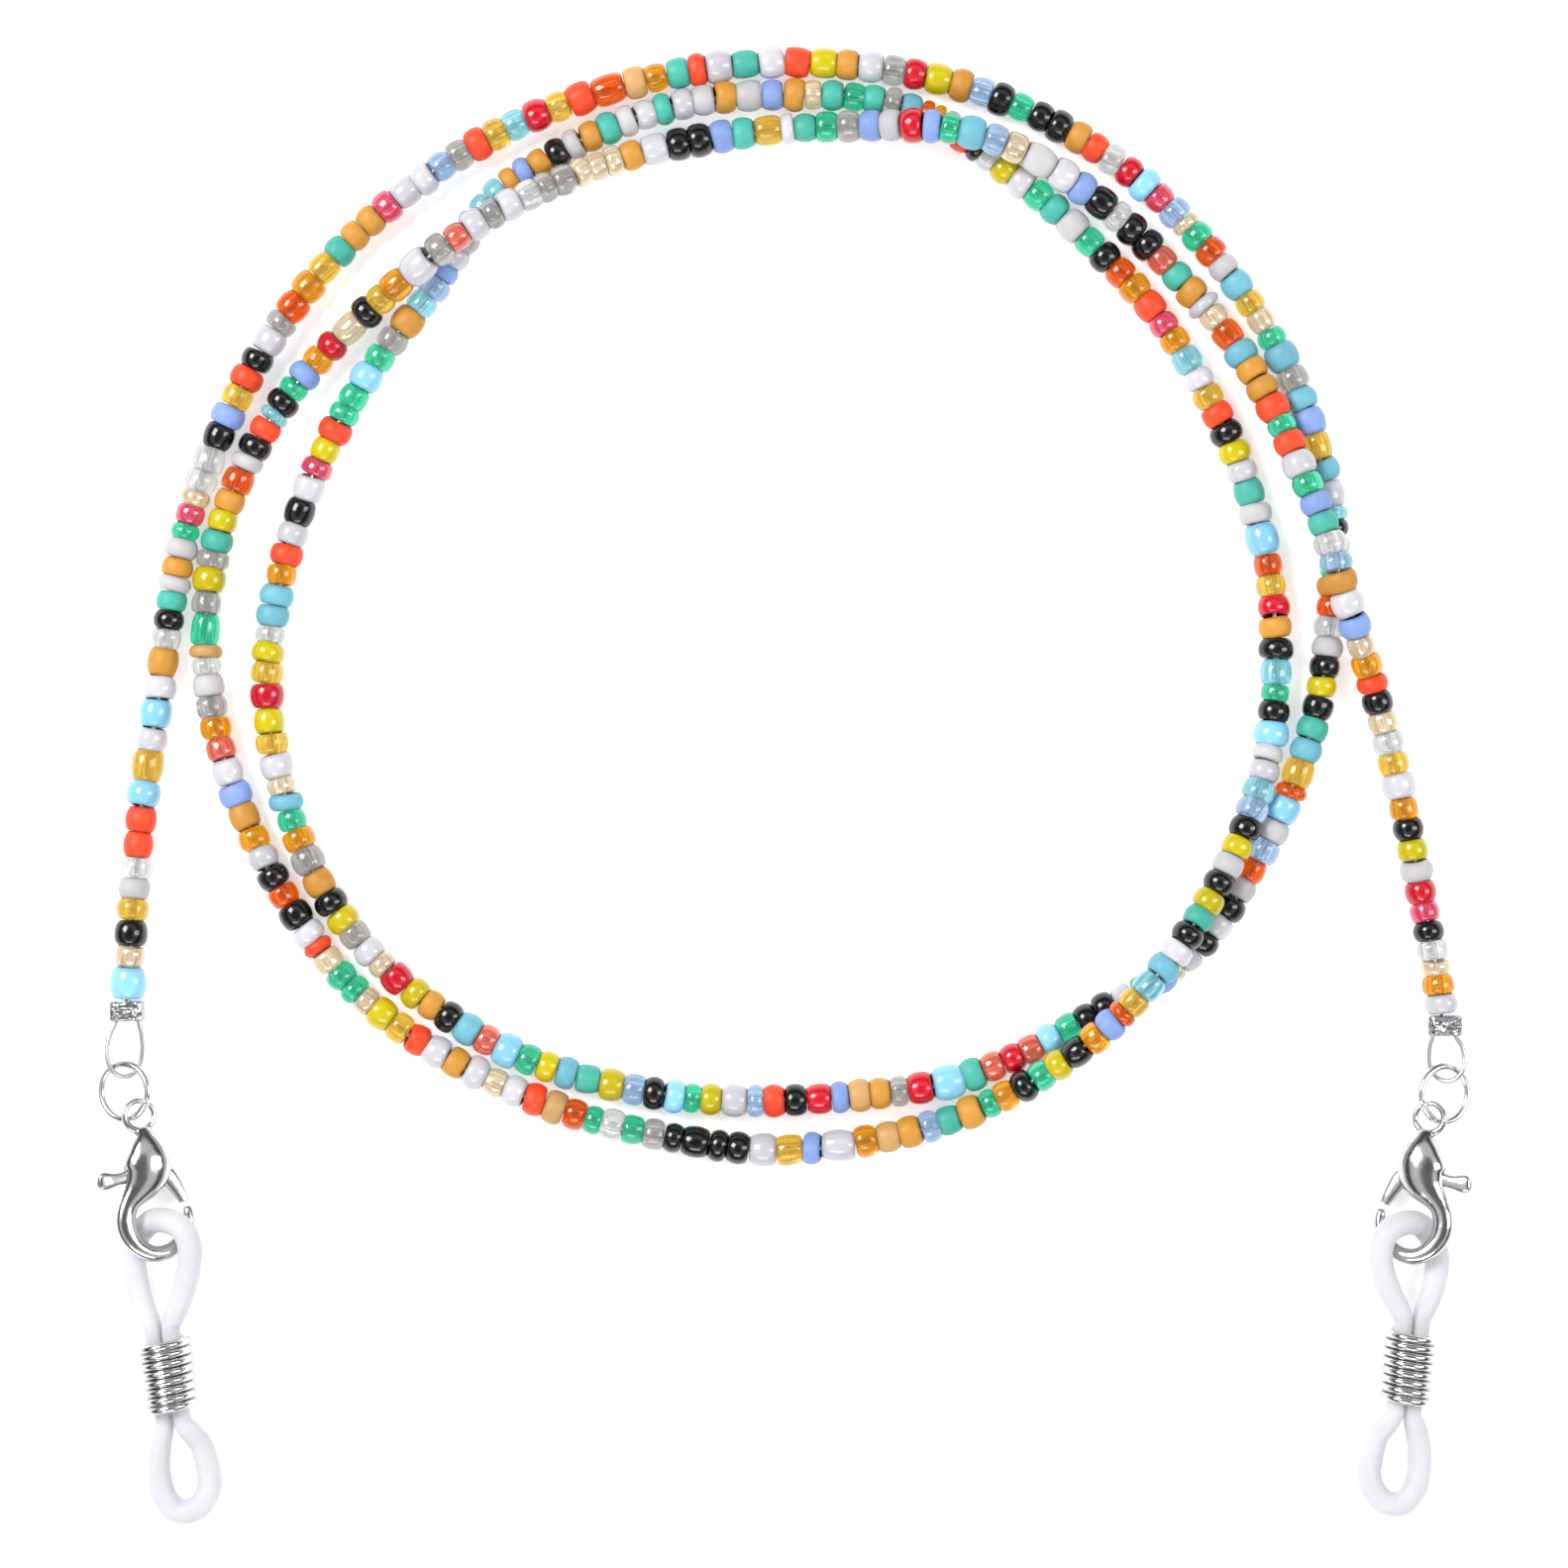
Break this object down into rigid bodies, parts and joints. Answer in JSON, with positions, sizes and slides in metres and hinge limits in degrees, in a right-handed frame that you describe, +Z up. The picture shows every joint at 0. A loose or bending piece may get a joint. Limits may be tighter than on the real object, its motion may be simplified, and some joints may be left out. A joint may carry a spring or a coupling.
{
  "type": "eyeglass retainer strap",
  "caption": "Beaded glasses strap: seed beads on a wire, with a lobster clasp and a silicone temple loop pinched by a sliding coil sleeve at each end.",
  "frame": {"origin": "middle of the floor area covered by the two ends' metal and silicone fittings, at floor height", "axes": "+X from the left fitting to the right fitting, +Y from the fittings toward the strand's far bend, +Z up off the floor"},
  "size_m": [0.1046, 0.1122, 0.0053],
  "materials": {
    "glass_white": "opaque gloss",
    "glass_milky": "frosted",
    "glass_clear": "clear",
    "glass_black": "opaque gloss",
    "glass_vermilion": "matte",
    "glass_poppy": "clear",
    "glass_tangerine": "clear",
    "glass_honey": "clear",
    "glass_mustard": "matte",
    "glass_pale_mustard": "matte",
    "glass_yellow": "opaque gloss",
    "glass_champagne": "lustre",
    "glass_emerald": "clear",
    "glass_teal": "matte",
    "glass_sky_blue": "opaque gloss",
    "glass_aqua_matte": "matte",
    "glass_aqua_clear": "clear",
    "glass_periwinkle": "matte",
    "glass_light_blue": "clear",
    "glass_smoke": "clear",
    "glass_crimson": "opaque gloss",
    "glass_magenta": "lustre",
    "glass_red_lustre": "lustre",
    "thread": "coated beading wire",
    "bright_metal": "polished plating",
    "crimp_metal": "crushed, scuffed",
    "spring_steel": "drawn wire",
    "coil_wire": "bright drawn wire",
    "silicone": "frosted, see-through"
  },
  "bodies": {
    "strand": {"beading_wire": "thread", "beads_white": "glass_white", "beads_milky": "glass_milky", "beads_clear": "glass_clear", "beads_black": "glass_black", "beads_vermilion": "glass_vermilion", "beads_poppy": "glass_poppy", "beads_tangerine": "glass_tangerine", "beads_honey": "glass_honey", "beads_mustard": "glass_mustard", "beads_pale_mustard": "glass_pale_mustard", "beads_yellow": "glass_yellow", "beads_champagne": "glass_champagne", "beads_emerald": "glass_emerald", "beads_teal": "glass_teal", "beads_sky_blue": "glass_sky_blue", "beads_aqua_matte": "glass_aqua_matte", "beads_aqua_clear": "glass_aqua_clear", "beads_periwinkle": "glass_periwinkle", "beads_light_blue": "glass_light_blue", "beads_smoke": "glass_smoke", "beads_crimson": "glass_crimson", "beads_magenta": "glass_magenta", "beads_red_lustre": "glass_red_lustre", "left_crimp_tube": "crimp_metal", "left_wire_loop": "thread", "right_crimp_tube": "crimp_metal", "right_wire_loop": "thread"},
    "left_ring": {"left_jump_ring": "bright_metal"},
    "left_clasp": {"left_clasp_body": "bright_metal", "left_lever_pin": "bright_metal", "left_lever_spring": "spring_steel"},
    "left_lever": {"left_clasp_lever": "bright_metal"},
    "left_silicone": {"left_silicone_loop": "silicone"},
    "left_sleeve": {"left_coil_sleeve": "coil_wire"},
    "right_ring": {"right_jump_ring": "bright_metal"},
    "right_clasp": {"right_clasp_body": "bright_metal", "right_lever_pin": "bright_metal", "right_lever_spring": "spring_steel"},
    "right_lever": {"right_clasp_lever": "bright_metal"},
    "right_silicone": {"right_silicone_loop": "silicone"},
    "right_sleeve": {"right_coil_sleeve": "coil_wire"}
  },
  "joints": [
    {"name": "left_ring_swing", "type": "hinge", "parent": "strand", "child": "left_ring", "pos_m": [-0.0501, 0.01525, 0.00128], "axis": [1, 0, 0], "range_deg": [-20, 0]},
    {"name": "left_clasp_swing", "type": "hinge", "parent": "left_ring", "child": "left_clasp", "pos_m": [-0.049, 0.0113, 0.00175], "axis": [0.766, 0.545, 0.341], "range_deg": [-34, 0]},
    {"name": "left_lever_open", "type": "hinge", "parent": "left_clasp", "child": "left_lever", "pos_m": [-0.04821, 0.00739, 0.00191], "axis": [-0.342, -0.0901, -0.9354], "range_deg": [0, 12], "stiffness_Nm_per_rad": 0.0005, "springref_deg": -17.19},
    {"name": "left_silicone_swing", "type": "hinge", "parent": "left_clasp", "child": "left_silicone", "pos_m": [-0.0481, 0.0031, 0.0019], "axis": [1, 0, 0], "range_deg": [-7, 0]},
    {"name": "left_sleeve_slide", "type": "slide", "parent": "left_silicone", "child": "left_sleeve", "axis": [-0.1236, 0.9923, 0], "range_m": [-0.0006, 0.0008]},
    {"name": "right_ring_swing", "type": "hinge", "parent": "strand", "child": "right_ring", "pos_m": [0.0501, 0.01505, 0.00128], "axis": [1, 0, 0], "range_deg": [-20, 0]},
    {"name": "right_clasp_swing", "type": "hinge", "parent": "right_ring", "child": "right_clasp", "pos_m": [0.0488, 0.0111, 0.00175], "axis": [0.766, -0.545, -0.341], "range_deg": [-34, 0]},
    {"name": "right_lever_open", "type": "hinge", "parent": "right_clasp", "child": "right_lever", "pos_m": [0.04821, 0.0072, 0.00191], "axis": [-0.342, 0.0901, 0.9354], "range_deg": [0, 12], "stiffness_Nm_per_rad": 0.0005, "springref_deg": -17.19},
    {"name": "right_silicone_swing", "type": "hinge", "parent": "right_clasp", "child": "right_silicone", "pos_m": [0.0483, 0.0031, 0.0019], "axis": [1, 0, 0], "range_deg": [-7, 0]},
    {"name": "right_sleeve_slide", "type": "slide", "parent": "right_silicone", "child": "right_sleeve", "axis": [0.0924, 0.9957, 0], "range_m": [-0.0006, 0.0008]}
  ]
}
